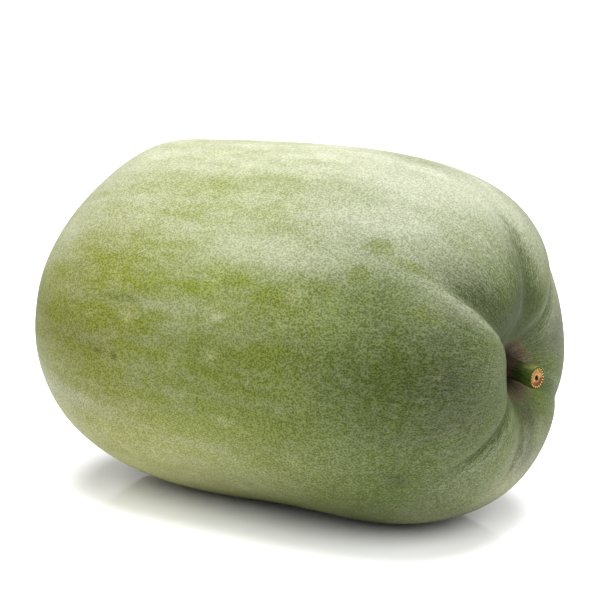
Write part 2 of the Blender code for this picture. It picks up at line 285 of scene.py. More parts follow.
# Noises and scattered points on the skin and the stem. Where lengthwise is below 1, they are
# drawn out along the fruit.
Noise = namedtuple("Noise", "lengthwise scale detail roughness")
COARSE = Noise(lengthwise=0.25, scale=32.0, detail=3.0, roughness=0.55)
MEDIUM = Noise(lengthwise=0.40, scale=90.0, detail=3.0, roughness=0.55)
MOTTLE = Noise(lengthwise=0.80, scale=210.0, detail=2.0, roughness=0.55)
GRAIN = Noise(lengthwise=0.80, scale=740.0, detail=1.5, roughness=0.60)
STREAKS = Noise(lengthwise=0.18, scale=680.0, detail=3.0, roughness=0.65)
STEM_MOTTLE = Noise(lengthwise=0.40, scale=420.0, detail=3.0, roughness=0.60)
STEM_GRAIN = Noise(lengthwise=0.25, scale=1500.0, detail=2.0, roughness=0.60)
Points = namedtuple("Points", "lengthwise scale")
DOTS = Points(lengthwise=0.80, scale=850.0)
SPOTS = Points(lengthwise=1.00, scale=33.0)
COARSE_SHARE = 0.6
GRAIN_IN_SPECKLE = 0.8

# Soft steps: between which values each one runs, and what it gives below and above them
Step = namedtuple("Step", "low high below above", defaults=(0.0, 1.0))
SOFTENED = Step(0.0, 1.0)
PATCHY = Step(-0.14, 0.14, 0.86, 1.14)
SPECKLE_EDGE = Step(0.12, 0.82)
OLIVE_EDGE = Step(0.10, 0.75)
SPOT_EDGE = Step(0.06, 0.36, 0.42, 0.0)
SPOTS_BY_NOISE = Step(0.38, 0.60, 0.25, 1.0)
SPOTS_BY_GREEN = Step(0.0, 0.9, 1.0, 0.25)
SHADE = Step(-0.3, 0.9, 1.18, 0.20)
WORN_EDGE = Step(0.15, 0.80)
MARK_EDGE = Step(0.28, 0.75)
CREASE_EDGE = Step(0.15, 1.0)
DIRT_SPECKS = Step(0.86, 1.14, 0.1, 1.4)
FLECK_EDGE = Step(0.56, 0.72, 0.0, 0.5)
SCAR_EDGE = Step(0.3, 0.8)
THIN_BLOOM = Step(0.35, 0.70, 0.015, 0.065)
DRIFTS_BY_GREEN = Step(0.0, 1.0, 0.80, 0.12)
CREST_STREAKS = Step(0.38, 0.62, 0.01, 0.12)

# How far the noise moves the edges of the olive, dark, worn and marked places
OLIVE_WANDER, DARK_WANDER, WORN_WANDER = 1.2, 0.6, 1.2
WORN_RAGGEDNESS, MARK_RAGGEDNESS = 1.1, 1.3

# Colours of the rind, from the blossom end to the stem end, and of what lies on it. Round the
# middle of the fruit it is leaf green, with less red. The speckle multiplies the colour by a
# dark or a pale factor. It is stronger near the stem and fades on the pale ground spot.
NET_YELLOW = (0.095, 0.107, 0.013)
NET_GREEN = (0.040, 0.057, 0.006)
LEAFY_TINT = (0.90, 1.0, 1.0)
OLIVE = (0.084, 0.092, 0.009)
PALE_SPOT = (0.190, 0.200, 0.070)
GROUND = (0.345, 0.345, 0.146)
SPECK_DARK = {"yellow": (0.62, 0.65, 0.10), "green": (0.50, 0.52, 0.05)}
SPECK_PALE = {"yellow": (1.37, 1.32, 1.95), "green": (1.54, 1.50, 2.50)}
NO_SPECK = (1.0, 1.0, 1.0)
SPECKLE_LOST_ON_GROUND, SPECKLE_GAINED_AT_STEM = 0.6, 0.25
# Painted shade: near black deep in the cavity round the stem
PAINTED_HOLE_SHADE = (0.006, 0.004, 0.002)
FLECK = (0.135, 0.068, 0.034)
SCAR_BROWN = (0.090, 0.055, 0.026)

# Blemishes, with the painted shade of the creases among them, in the order in which they are laid on: the
# colour, the most of it that shows, and how much of the bloom is left there
Blemish = namedtuple("Blemish", "colour share bloom_left")
BLEMISHES = {
    "worn": Blemish((0.054, 0.070, 0.005), share=0.70, bloom_left=0.42),
    "mark": Blemish((0.028, 0.040, 0.003), share=0.55, bloom_left=0.12),
    # Partly painted shade: darker at the bottom of the folds, and more so in deeper folds
    "crease": Blemish((0.024, 0.034, 0.005), share=0.85, bloom_left=0.22),
    "stain": Blemish((0.078, 0.050, 0.018), share=1.00, bloom_left=0.15),
    "cavity": Blemish((0.024, 0.014, 0.006), share=1.00, bloom_left=1.00),
}

# The powdery bloom. It carries some of the speckle too, less where it is thick.
BLOOM = (0.355, 0.360, 0.290)
HAIR_BLOOM = 0.28
BLOOM_SPECKLE, BLOOM_SPECKLE_LOST = 0.69, 0.55

# Colours of the stem's side and of its cut face. The side's greens are partly painted shade from the cavity;
# the side also has a painted highlight along its top and painted shade towards its foot.
SIDE_DARK, SIDE_GREEN = (0.010, 0.019, 0.002), (0.026, 0.040, 0.005)
SIDE_ANGLE, SIDE_ANGLE_SHARE = (0.055, 0.072, 0.014), 0.35
# Painted highlight along the top of the stem
SIDE_PAINTED_HIGHLIGHT = (0.120, 0.135, 0.032)
# Painted shade over the side towards the foot
SIDE_PAINTED_SHADE = (0.005, 0.008, 0.001)
SIDE_FOOT = (0.016, 0.010, 0.006)
RIM_DARK, RIM_PALE = (0.040, 0.026, 0.009), (0.290, 0.225, 0.080)
HEART_DARK, HEART_PALE = (0.180, 0.085, 0.024), (0.290, 0.165, 0.055)
HEART_RED = (0.095, 0.026, 0.008)
HEART_RING, HEART_RING_SHARE = (0.320, 0.235, 0.110), 0.55
PITH = (0.010, 0.006, 0.004)

# Soft steps on the stem: by noise, by the share of its length or radius, and round its side
STEM_PATCHES = Step(0.35, 0.65)
# Where the painted highlight lies round the stem's side
PAINTED_HIGHLIGHT_TOP = Step(0.70, 1.0, 0.0, 0.70)
# Where the painted shade lies along the stem
PAINTED_SHADE_TO_FOOT = Step(0.60, 0.98, 0.95, 0.0)
BROWN_FOOT = Step(0.42, 0.62, 1.0, 0.0)
SIDE_GRAIN = Step(0.3, 0.7, 0.6, 1.4)
VESSEL_EDGE = Step(0.20, 0.65)
RED_SIDE = Step(0.18, 0.72, 0.0, 0.95)
RING_START, RING_END = Step(0.24, 0.30), Step(0.36, 0.46, 0.7, 0.0)
RIM_START = Step(0.62, 0.80)
PITH_EDGE = Step(0.19, 0.28, 1.0, 0.0)
FACE_GRAIN = Step(0.3, 0.7, 0.8, 1.15)
STEM_ROUGHNESS = Step(0.3, 0.7, 0.55, 0.80)

# Gloss, and the height of the finest relief
SKIN_ROUGHNESS, SKIN_GLOSS = 0.58, 0.12
STEM_GLOSS = 0.05
GRAIN_HEIGHT = 0.00012

# The floor: pale and polished
FLOOR_SIZE = 30.0
FLOOR_COLOUR = (0.86, 0.86, 0.86, 1.0)
FLOOR_ROUGHNESS, FLOOR_GLOSS = 0.03, 1.0

# The light: a white sky, and wide soft lights. Their width is an angle in degrees. An azimuth of
# 0 is in front of the long side, 90 is past the stem end.
SKY_COLOUR, SKY_STRENGTH = (1.0, 1.0, 1.0, 1.0), 0.55
LIGHT_WIDTH = 42
Light = namedtuple("Light", "name azimuth elevation power")
LIGHTS = (
    Light("overhead", azimuth=0, elevation=90, power=6.0),
    Light("left", azimuth=-50, elevation=38, power=0.85),
    Light("front", azimuth=46, elevation=44, power=2.6),
    Light("right", azimuth=95, elevation=35, power=1.0),
)

# The camera, and where its target lies in the photograph's frame of 600 by 600 pixels
FRAME_PIXELS = 600
CAMERA_AZIMUTH, CAMERA_ELEVATION = 32.0, 14.0
CAMERA_DISTANCE = 1.375
CAMERA_LENS, CAMERA_SENSOR = 116.2, 36.0
CAMERA_TARGET = Vector((0.0, 0.0027, 0.1150))
TARGET_PIXEL = (297.5, 340.5)


def smooth_step(low, high, value):
    """0 below low, 1 above high, with a soft rise between."""
    share = np.clip((value - low) / (high - low), 0.0, 1.0)
    return share * share * (3.0 - 2.0 * share)


def degrees_from(centre, clock):
    """How far a clock angle lies past a centre, from -180 to 180."""
    return (clock - centre + 180.0) % 360.0 - 180.0


def bump(value, half_width):
    """A bell shape: 1 at 0, and about a third at the half width."""
    return np.exp(-(value / half_width) ** 2)


# A polar angle as good as at the pole, and the step over which the normal is taken
AT_POLE = 1e-6
NORMAL_STEP = 1e-4


def meridian(polar):
    """Place along the axis and distance from it, for the fruit with no folds or cavity."""
    cosine = np.cos(polar)
    at_stem = cosine > 0.0
    shoulder = np.where(at_stem, SHOULDER_POWER["stem"], SHOULDER_POWER["blossom"])
    end = np.where(at_stem, END_POWER["stem"], END_POWER["blossom"])
    along = 0.5 * FRUIT_LENGTH * np.sign(cosine) * np.abs(cosine) ** shoulder
    radius = 0.5 * FRUIT_DIAMETER * np.abs(np.sin(polar)) ** end
    return along, radius


def meridian_normal(polar):
    """The outward direction at the meridian, as its parts along the axis and away from it."""
    inner = np.clip(polar, 2.0 * NORMAL_STEP, np.pi - 2.0 * NORMAL_STEP)
    along_0, radius_0 = meridian(inner - NORMAL_STEP)
    along_1, radius_1 = meridian(inner + NORMAL_STEP)
    length = np.hypot(along_1 - along_0, radius_1 - radius_0)
    return (radius_1 - radius_0) / length, (along_0 - along_1) / length


POLAR_STEPS = np.linspace(0.0, np.pi, MERIDIAN_STEPS + 1)
STEP_ALONG, STEP_RADIUS = meridian(POLAR_STEPS)
STEP_LENGTHS = np.hypot(np.diff(STEP_ALONG), np.diff(STEP_RADIUS))
SKIN_LENGTHS = np.concatenate(([0.0], np.cumsum(STEP_LENGTHS)))


def skin_length(polar):
    """Distance along the skin from the stem's pole."""
    return np.interp(polar, POLAR_STEPS, SKIN_LENGTHS)


def fold_aside(fold, clock, radius):
    """Distance across the skin from a fold's bottom, towards higher clock angles."""
    return np.radians(degrees_from(fold.clock, clock)) * radius


def fold_reach(fold, length):
    """How much of its full depth a fold has at a distance from the stem's pole."""
    fade = smooth_step(FOLD_FULL * fold.reach, fold.reach, length)
    return smooth_step(*FOLD_START, length) * (1.0 - fade)


def fold_crease(fold, length, clock, radius):
    """How deep in a fold a place lies, from 0 to 1."""
    aside = fold_aside(fold, clock, radius)
    flank = np.where(aside < 0.0, fold.low_flank, fold.high_flank)
    crease = np.exp((fold.rounding - np.hypot(aside, fold.rounding)) / flank)
    return crease * fold_reach(fold, length)


def fold_relief(polar, clock, radius):
    """Height of the folds (below zero) and of the lobes between them (above zero)."""
    length = skin_length(polar)
    relief = np.zeros_like(length + clock)
    for fold, following in zip(FOLDS, FOLDS[1:] + FOLDS[:1]):
        relief = relief - fold.depth * fold_crease(fold, length, clock, radius)
        span = (following.clock - fold.clock) % 360.0
        across = ((clock - fold.clock) % 360.0) / span
        arch = np.where(across < 1.0, np.sin(np.pi * np.clip(across, 0.0, 1.0)), 0.0)
        rise = smooth_step(*SWELL_START, length)
        fade = 1.0 - smooth_step(*SWELL_END, length)
        relief = relief + fold.swell * arch * rise * fade
    return relief


def patches_at(patches, along, clock):
    """The sum of some soft patches or broad swellings."""
    total = np.zeros_like(along + clock)
    for patch in patches:
        lengthwise = bump(along - patch.at, patch.half_length)
        crosswise = bump(degrees_from(patch.clock, clock), patch.half_width)
        total = total + patch.amount * lengthwise * crosswise
    return total


def evened_patches_at(patches, along, radius, clock):
    """The same, evened out round the blossom's pole, where the patches would run to a point."""
    here = patches_at(patches, along, clock)
    around = [patches_at(patches, along, np.full_like(along, each)) for each in CLOCK_SAMPLES]
    even = np.where(along < 0.0, bump(radius, POLE_EVENNESS), 0.0)
    return here + even * (np.mean(around, axis=0) - here)


def uneven_relief(along, clock):
    """Height of the broad swellings and of the faint ridges along the body."""
    body = 1.0 - (2.0 * along / FRUIT_LENGTH) ** 2
    ridges = RIDGE_HEIGHT * body * np.cos(RIDGE_COUNT * np.radians(clock))
    return patches_at(SWELLINGS, along, clock) + ridges


def cavity_rise(radius):
    """How far the cavity's wall has risen from its floor, at a distance from its middle."""
    dip = DIP_DEPTH * (1.0 - bump(radius, DIP_RADIUS))
    return dip + WELL_DEPTH * (1.0 - bump(radius, WELL_RADIUS))


def free_skin(polar, clock):
    """The skin about the fruit's own axis, before the belly is pressed flat."""
    along, radius = meridian(polar)
    out_along, out_radius = meridian_normal(polar)
    relief = fold_relief(polar, clock, radius) + uneven_relief(along, clock)
    angle = np.radians(clock)
    section = 1.0 + TALLER * np.cos(2.0 * angle) - THREE_SIDED * np.sin(3.0 * angle)

    stem_side = along > 0.0
    hollow = DIP_DEPTH + WELL_DEPTH - cavity_rise(radius)
    scar = SCAR_HEIGHT * (1.0 - smooth_step(SCAR_FLAT * SCAR_RADIUS, SCAR_RADIUS, radius))
    dimple = DIMPLE_DEPTH * bump(radius, DIMPLE_RADIUS) - scar
    x = along + relief * out_along + np.where(stem_side, -hollow, dimple)
    distance = (radius + relief * out_radius) * section
    drop = np.where(stem_side, CAVITY_DROP * bump(radius, CAVITY_DROP_RADIUS), 0.0)
    return x, -distance * np.sin(angle), distance * np.cos(angle) - drop


def skin_grid(near_pole, rings, clocks):
    """Polar and clock angles at even steps over the skin, from near one pole to near the other."""
    return np.meshgrid(np.linspace(near_pole, np.pi - near_pole, rings), clocks)


def lowest_skin():
    """Height of the lowest point of the free skin, below the fruit's axis."""
    polar, clock = skin_grid(near_pole=0.01, rings=300, clocks=np.arange(90.0, 270.0))
    return free_skin(polar, clock)[2].min()


AXIS_HEIGHT = -lowest_skin() - BELLY_FLAT


def skin(polar, clock):
    """Points of the finished skin, with the belly flat on z = 0."""
    x, y, z = free_skin(polar, clock)
    return np.stack((x, y, np.maximum(z + AXIS_HEIGHT, 0.0)), axis=-1)


def ring_angles(count):
    """Polar angles of the rings, closest together in the cavity, the folds and the scar."""
    from_stem = 0.5 * (SKIN_LENGTHS[1:] + SKIN_LENGTHS[:-1])
    from_blossom = SKIN_LENGTHS[-1] - from_stem
    crowding = np.ones_like(from_stem)
    for zones, distance in ((STEM_END_CROWDING, from_stem), (BLOSSOM_END_CROWDING, from_blossom)):
        for zone in zones:
            crowding += zone.amount * bump(distance, zone.half_length)
    share = np.concatenate(([0.0], np.cumsum(crowding * STEP_LENGTHS)))
    return np.interp(np.linspace(0.0, share[-1], count + 1), share, POLAR_STEPS)


def closed_rings(segments, rings):
    """A surface of rings between two poles: each vertex's ring number and angle, and the faces."""
    inner = np.repeat(np.arange(1, rings), segments)
    ring = np.concatenate(([0], inner, [rings]))
    round_about = np.concatenate(([0.0], np.tile(np.arange(segments) * 360.0 / segments, rings - 1), [0.0]))
    here = np.arange(segments)
    beside = (here + 1) % segments
    faces = [(0, 1 + a, 1 + b) for a, b in zip(here, beside)]
    for row in range(rings - 2):
        low, high = 1 + row * segments, 1 + (row + 1) * segments
        faces += list(zip(low + here, high + here, high + beside, low + beside))
    last = 1 + (rings - 1) * segments
    low = last - segments
    faces += [(low + a, last, low + b) for a, b in zip(here, beside)]
    return ring, round_about, faces


def finish_piece(name, points, faces, material):
    """A smooth-shaded piece of these points and faces, in the scene."""
    data = bpy.data.meshes.new(name)
    data.from_pydata(points.tolist(), [], faces)
    data.materials.append(material)
    data.shade_smooth()
    piece = bpy.data.objects.new(name, data)
    bpy.context.scene.collection.objects.link(piece)
    return piece


def add_measure(piece, name, values):
    """Stores one number, or one vector, for each vertex, for the material to read."""
    kind = 'FLOAT' if values.ndim == 1 else 'FLOAT_VECTOR'
    field = "value" if values.ndim == 1 else "vector"
    attribute = piece.data.attributes.new(name, kind, 'POINT')
    attribute.data.foreach_set(field, np.asarray(values, dtype=np.float32).ravel())


def frame_shift():
    """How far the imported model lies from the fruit's own axis and middle."""
    low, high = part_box("fruit")
    points = skin(*skin_grid(near_pole=0.001, rings=500, clocks=np.arange(360.0))).reshape(-1, 3)
    middle = 0.5 * (points.min(axis=0) + points.max(axis=0))
    return np.array((0.5 * (low.x + high.x) - middle[0], 0.5 * (low.y + high.y) - middle[1], 0.0))


# The sockets of Blender's Mix node that are for colours
MIX_FACTOR, MIX_LOW, MIX_HIGH, MIX_RESULT = 0, 6, 7, 2


class Graph:
    """A material's node graph, with a short call for each kind of node."""

    def __init__(self, name):
        self.material = bpy.data.materials.new(name)
        self.material.use_nodes = True
        self.tree = self.material.node_tree
        self.shader = self.tree.nodes["Principled BSDF"]

    def node(self, kind, inputs, **settings):
        node = self.tree.nodes.new(kind)
        for name, value in settings.items():
            setattr(node, name, value)
        for key, value in inputs.items():
            self.feed(node.inputs[key], value)
        return node

    def feed(self, socket, value):
        if isinstance(value, bpy.types.NodeSocket):
            self.tree.links.new(value, socket)
        else:
            socket.default_value = value

    def place(self):
        """Where a point of the piece lies, in metres."""
        return self.node('ShaderNodeTexCoord', {}).outputs["Object"]

    def measure(self, name, output="Fac"):
        """What add_measure stored under a name."""
        return self.node('ShaderNodeAttribute', {}, attribute_name=name).outputs[output]

    def tint(self, vector, factors):
        """A colour or a place times another, part by part."""
        return self.node('ShaderNodeVectorMath', {0: vector, 1: factors}, operation='MULTIPLY').outputs[0]

    def noise(self, place, kind):
        """Smooth noise from 0 to 1, about one half."""
        inputs = {"Vector": self.tint(place, (kind.lengthwise, 1.0, 1.0)), "Scale": kind.scale,
                  "Detail": kind.detail, "Roughness": kind.roughness}
        return self.node('ShaderNodeTexNoise', inputs).outputs["Fac"]

    def points(self, place, kind):
        """Distance from the nearest of some scattered points, in their own spacing."""
        inputs = {"Vector": self.tint(place, (kind.lengthwise, 1.0, 1.0)), "Scale": kind.scale}
        return self.node('ShaderNodeTexVoronoi', inputs).outputs["Distance"]

    def math(self, operation, first, second, clamp=False):
        inputs = {0: first, 1: second}
        return self.node('ShaderNodeMath', inputs, operation=operation, use_clamp=clamp).outputs[0]

    def add(self, first, second, clamp=False):
        return self.math('ADD', first, second, clamp)

    def times(self, first, second, clamp=False):
        return self.math('MULTIPLY', first, second, clamp)

    def minus(self, first, second):
        return self.math('SUBTRACT', first, second)

    def centred(self, noise):
        """A value from 0 to 1, moved to lie about 0."""
        return self.minus(noise, 0.5)

    def step(self, value, step):
        """A value passed through a soft step."""
        inputs = {"Value": value, "From Min": step.low, "From Max": step.high,
                  "To Min": step.below, "To Max": step.above}
        return self.node('ShaderNodeMapRange', inputs, interpolation_type='SMOOTHSTEP').outputs[0]

    def blend(self, share, low, high):
        """low where the share is 0, high where it is 1; both are colours."""
        node = self.node('ShaderNodeMix', {}, data_type='RGBA')
        for number, value in ((MIX_FACTOR, share), (MIX_LOW, low), (MIX_HIGH, high)):
            self.feed(node.inputs[number], (*value, 1.0) if isinstance(value, tuple) else value)
        return node.outputs[MIX_RESULT]

    def darken(self, colour, factor):
        """A colour times a number."""
        return self.node('ShaderNodeVectorMath', {0: colour, 'Scale': factor}, operation='SCALE').outputs[0]

    def roughen(self, height, distance):
        """Raises the surface by height times distance."""
        normal = self.node('ShaderNodeBump', {"Height": height, "Distance": distance}).outputs[0]
        self.feed(self.shader.inputs["Normal"], normal)


SkinNoise = namedtuple("SkinNoise", "medium mottle grain streaks wander patchy ragged hair speckle pale")


def skin_noise(graph):
    """The skin's noises, and the uneven values made of them that several looks share."""
    around = graph.measure("around", "Vector")
    evenly = graph.measure("evenly_around", "Vector")
    coarse = graph.noise(around, COARSE)
    medium = graph.noise(around, MEDIUM)
    mottle = graph.noise(evenly, MOTTLE)
    grain = graph.noise(evenly, GRAIN)
    streaks = graph.noise(around, STREAKS)
    uneven = graph.add(graph.times(coarse, COARSE_SHARE), graph.times(medium, 1.0 - COARSE_SHARE))
    wander = graph.times(graph.centred(uneven), graph.measure("body"))
    hair = graph.times(graph.centred(streaks), graph.measure("near_stem"))
    speckle = graph.add(graph.points(evenly, DOTS), graph.times(graph.centred(grain), GRAIN_IN_SPECKLE))
    return SkinNoise(medium, mottle, grain, streaks, wander, patchy=graph.step(wander, PATCHY),
                     ragged=graph.centred(mottle), hair=hair, speckle=speckle,
                     pale=graph.step(speckle, SPECKLE_EDGE))


def rind_colour(graph, noise, greener, ground):
    """The rind, greener towards the stem end, with its olive, pale and dark places."""
    rind = graph.blend(greener, NET_YELLOW, NET_GREEN)
    rind = graph.blend(graph.measure("middle"), rind, graph.tint(rind, LEAFY_TINT))
    olive = graph.add(graph.times(noise.wander, OLIVE_WANDER), graph.measure("olive"))
    rind = graph.blend(graph.step(olive, OLIVE_EDGE), rind, OLIVE)
    spots = graph.step(graph.points(graph.place(), SPOTS), SPOT_EDGE)
    spots = graph.times(spots, graph.step(noise.medium, SPOTS_BY_NOISE))
    spots = graph.times(spots, graph.step(greener, SPOTS_BY_GREEN))
    rind = graph.blend(spots, rind, PALE_SPOT)
    rind = graph.blend(ground, rind, GROUND)
    dark = graph.add(graph.measure("dark"), graph.times(noise.wander, DARK_WANDER))
    return graph.darken(rind, graph.step(dark, SHADE))


def blemish_strengths(graph, noise):
    """How strongly each kind of blemish, and the painted shade in the creases, shows at each place."""
    worn = graph.add(graph.measure("worn"), graph.times(noise.wander, WORN_WANDER))
    worn = graph.add(worn, graph.times(noise.ragged, WORN_RAGGEDNESS))
    mark = graph.add(graph.measure("mark"), graph.times(noise.ragged, MARK_RAGGEDNESS))
    dirt = graph.step(graph.add(noise.mottle, noise.grain), DIRT_SPECKS)
    return {
        "worn": graph.step(worn, WORN_EDGE),
        "mark": graph.step(mark, MARK_EDGE),
        "crease": graph.step(graph.minus(graph.measure("crease"), noise.hair), CREASE_EDGE),
        "stain": graph.times(graph.measure("stain"), dirt, clamp=True),
        "cavity": graph.times(graph.measure("cavity"), dirt, clamp=True),
    }


def speckled(graph, noise, rind, greener, ground):
    """The rind with its speckle."""
    factors = graph.blend(greener, graph.blend(noise.pale, SPECK_DARK["yellow"], SPECK_PALE["yellow"]),
                          graph.blend(noise.pale, SPECK_DARK["green"], SPECK_PALE["green"]))
    factors = graph.blend(graph.times(ground, SPECKLE_LOST_ON_GROUND), factors, NO_SPECK)
    rind = graph.tint(rind, factors)
    gained = graph.times(graph.measure("near_stem"), SPECKLE_GAINED_AT_STEM)
    return graph.blend(gained, rind, graph.tint(rind, factors))


def bloom_cover(graph, noise, greener, strengths):
    """How much of the rind the bloom hides: thin everywhere, thick on top, with pale crests beside the folds
    that are partly bloom and partly painted highlight.
    """
    def thinned(bloom, name):
        left = Step(0.0, 1.0, 1.0, BLEMISHES[name].bloom_left)
        return graph.times(bloom, graph.step(strengths[name], left))

    bloom = graph.times(graph.measure("bloom"), noise.patchy)
    bloom = graph.add(bloom, graph.step(noise.mottle, THIN_BLOOM))
    drifts = graph.times(noise.wander, graph.step(greener, DRIFTS_BY_GREEN))
    bloom = graph.add(bloom, drifts, clamp=True)
    bloom = graph.times(bloom, graph.minus(1.0, graph.measure("bare")))
    bloom = graph.add(bloom, graph.times(graph.measure("end_bloom"), noise.patchy))
    for name in ("crease", "mark", "worn"):
        bloom = thinned(bloom, name)
    bloom = thinned(graph.add(bloom, graph.times(noise.hair, HAIR_BLOOM)), "stain")
    # Pale crests beside the folds: partly bloom, partly painted highlight on the lobes' edges
    crest = graph.times(graph.measure("crest"), graph.step(noise.streaks, CREST_STREAKS))
    bloom = graph.add(bloom, crest)
    sway = graph.minus(BLOOM_SPECKLE, graph.times(bloom, BLOOM_SPECKLE_LOST))
    sway = graph.times(graph.centred(noise.pale), sway)
    return graph.times(bloom, graph.add(1.0, sway), clamp=True)


def skin_material():
    """The rind with its blemishes, painted shade and speckle, the bloom over it, and what shows on top."""
    graph = Graph("melon_skin")
    noise = skin_noise(graph)
    greener = graph.step(graph.measure("greener"), SOFTENED)
    ground = graph.times(graph.measure("ground"), noise.patchy, clamp=True)
    strengths = blemish_strengths(graph, noise)

    rind = rind_colour(graph, noise, greener, ground)
    for name, blemish in BLEMISHES.items():
        rind = graph.blend(graph.times(strengths[name], blemish.share), rind, blemish.colour)
    rind = speckled(graph, noise, rind, greener, ground)
    colour = graph.blend(bloom_cover(graph, noise, greener, strengths), rind, BLOOM)

    # Painted shade deep in the cavity, the brown flecks round the stem, and the scar at the blossom end
    colour = graph.blend(graph.measure("painted_hole_shade"), colour, PAINTED_HOLE_SHADE)
    flecks = graph.times(graph.measure("stain"), graph.step(noise.streaks, FLECK_EDGE))
    colour = graph.blend(flecks, colour, FLECK)
    colour = graph.blend(graph.step(graph.measure("scar"), SCAR_EDGE), colour, SCAR_BROWN)
    graph.feed(graph.shader.inputs["Base Color"], colour)
    graph.shader.inputs["Specular IOR Level"].default_value = SKIN_GLOSS
    graph.shader.inputs["Roughness"].default_value = SKIN_ROUGHNESS
    graph.roughen(noise.speckle, GRAIN_HEIGHT)
    return graph.material


def add_skin_measures(piece, polar, clock):
    """Stores where the skin's looks are, for its material to read."""
    along, radius = meridian(polar)
    length = skin_length(polar)
    angle = np.radians(clock)
    at_stem = along > 0.0
    belt = 0.5 * FRUIT_DIAMETER
    for name, girth in (("around", belt), ("evenly_around", np.where(at_stem, belt, radius))):
        add_measure(piece, name, np.stack((length, girth * np.cos(angle), girth * np.sin(angle)), axis=-1))
    add_measure(piece, "body", np.where(at_stem, 1.0, 1.0 - bump(radius, POLE_EVENNESS)))
    add_measure(piece, "middle", bump(along - LEAFY_X, LEAFY_HALF_LENGTH))
    add_measure(piece, "near_stem", 1.0 - smooth_step(*NEAR_STEM, length))
    add_measure(piece, "bare", np.where(at_stem, 1.0 - smooth_step(*BARE, radius), 0.0))
    add_measure(piece, "greener", smooth_step(*GREENER, along))
    for name, patches in (("bloom", BLOOM_PATCHES), ("mark", MARK_PATCHES), ("worn", WORN_PATCHES),
                          ("olive", OLIVE_PATCHES), ("ground", GROUND_PATCHES)):
        add_measure(piece, name, evened_patches_at(patches, along, radius, clock))
    end_dark_and_shade = np.where(at_stem, patches_at(END_DARK_AND_SHADE_PATCHES, radius, clock), 0.0)
    add_measure(piece, "dark", evened_patches_at(DARK_PATCHES, along, radius, clock) + end_dark_and_shade)
    end_bloom = np.where(at_stem, patches_at(END_BLOOM_PATCHES, radius, clock), 0.0)
    add_measure(piece, "end_bloom", end_bloom * smooth_step(*END_BLOOM_START, along))
    crease = np.zeros_like(length)
    crest = np.zeros_like(length)
    deepest = max(fold.depth for fold in FOLDS)
    for fold in FOLDS:
        strength = (fold.depth / deepest) ** CREASE_BY_DEPTH
        crease += strength * fold_crease(fold, length, clock, radius) ** CREASE_SPREAD
        aside = fold_aside(fold, clock, radius)
        crest += fold_reach(fold, length) * bump(aside - CREST_ASIDE, CREST_HALF_WIDTH)
    add_measure(piece, "crease", crease)
    add_measure(piece, "crest", crest)
    lean = STAIN_LEAN * np.cos(angle - np.radians(STAIN_CLOCK))
    for name, (near, far) in STAIN_ZONES.items():
        add_measure(piece, name, np.where(at_stem, 1.0 - smooth_step(near, far, radius * (1.0 - lean)), 0.0))
    add_measure(piece, "scar", np.where(at_stem, 0.0, bump(radius, SCAR_SPREAD * SCAR_RADIUS)))


def make_skin(shift):
    """The whole skin, a hair's breadth inside the solid's box."""
    ring, clock, faces = closed_rings(SKIN_SEGMENTS, SKIN_RINGS)
    polar = ring_angles(SKIN_RINGS)[ring]
    middle = np.array((0.0, 0.0, AXIS_HEIGHT))
    points = skin(polar, clock)
    inwards = middle - points
    points = points + DRAW_IN * inwards / np.linalg.norm(inwards, axis=-1, keepdims=True)
    piece = finish_piece("melon_skin", points + shift, faces, skin_material())
    add_skin_measures(piece, polar, clock)
    return piece


def stem_foot_top():
    """Where the foot's wall ends, level with the cavity's wall at its edge."""
    return STEM_SEAT + cavity_rise(0.5 * STEM_FOOT_DIAMETER)


def stem_rings():
    """Rings of the stem from the middle of its foot, up its wall and over the cut face to the
    bottom of the pith: how far along it each one lies, its radius, how much of the angles it
    shows, and how much of it is cut face."""
    foot = 0.5 * STEM_FOOT_DIAMETER
    edge = 0.5 * STEM_DIAMETER
    pith = 0.5 * PITH_DIAMETER
    rings = [(0.0, 0.0, 0.0, 0.0), (0.0, foot, 0.0, 0.0), (stem_foot_top(), foot, 0.0, 0.0)]
    for along in np.linspace(stem_foot_top(), STEM_LENGTH - CUT_EDGE, STEM_WALL_RINGS + 1)[1:]:
        fade = np.exp(-(along - stem_foot_top()) / STEM_FOOT_FADE)
        rings.append((along, edge + (foot - edge) * fade, 1.0 - fade, 0.0))
    rings.append((STEM_LENGTH - CUT_EDGE_DOWN * CUT_EDGE, edge - CUT_EDGE_IN * CUT_EDGE, 1.0, 0.5))
    rings.append((STEM_LENGTH, edge - CUT_EDGE, 1.0, 1.0))
    outer, inner = edge - CUT_FACE_IN * CUT_EDGE, pith + CUT_EDGE
    for share in np.linspace(0.0, 1.0, CUT_FACE_RINGS):
        dish = CUT_DISH * smooth_step(0.0, CUT_DISH_RIM, share)
        rings.append((STEM_LENGTH - dish, outer + share * (inner - outer), 1.0 - share, 1.0))
    rings.append((STEM_LENGTH - CUT_DISH - CUT_EDGE, pith, 0.0, 1.0))
    rings.append((STEM_LENGTH - PITH_DEPTH, pith, 0.0, 1.0))
    rings.append((STEM_LENGTH - PITH_DEPTH, 0.0, 0.0, 1.0))
    return np.array(rings)


def side_colour(graph, mottle, grain):
    """The stem's side: ribbed green, with a painted highlight on top, painted shade towards its foot, and
    then brown.
    """
    along = graph.measure("stem_along")
    side = graph.blend(graph.step(mottle, STEM_PATCHES), SIDE_DARK, SIDE_GREEN)
    side = graph.blend(graph.times(graph.measure("stem_rib"), SIDE_ANGLE_SHARE), side, SIDE_ANGLE)
    side = graph.blend(graph.step(graph.measure("stem_up"), PAINTED_HIGHLIGHT_TOP), side, SIDE_PAINTED_HIGHLIGHT)
    side = graph.blend(graph.step(along, PAINTED_SHADE_TO_FOOT), side, SIDE_PAINTED_SHADE)
    side = graph.blend(graph.step(along, BROWN_FOOT), side, SIDE_FOOT)
    return graph.darken(side, graph.step(grain, SIDE_GRAIN))


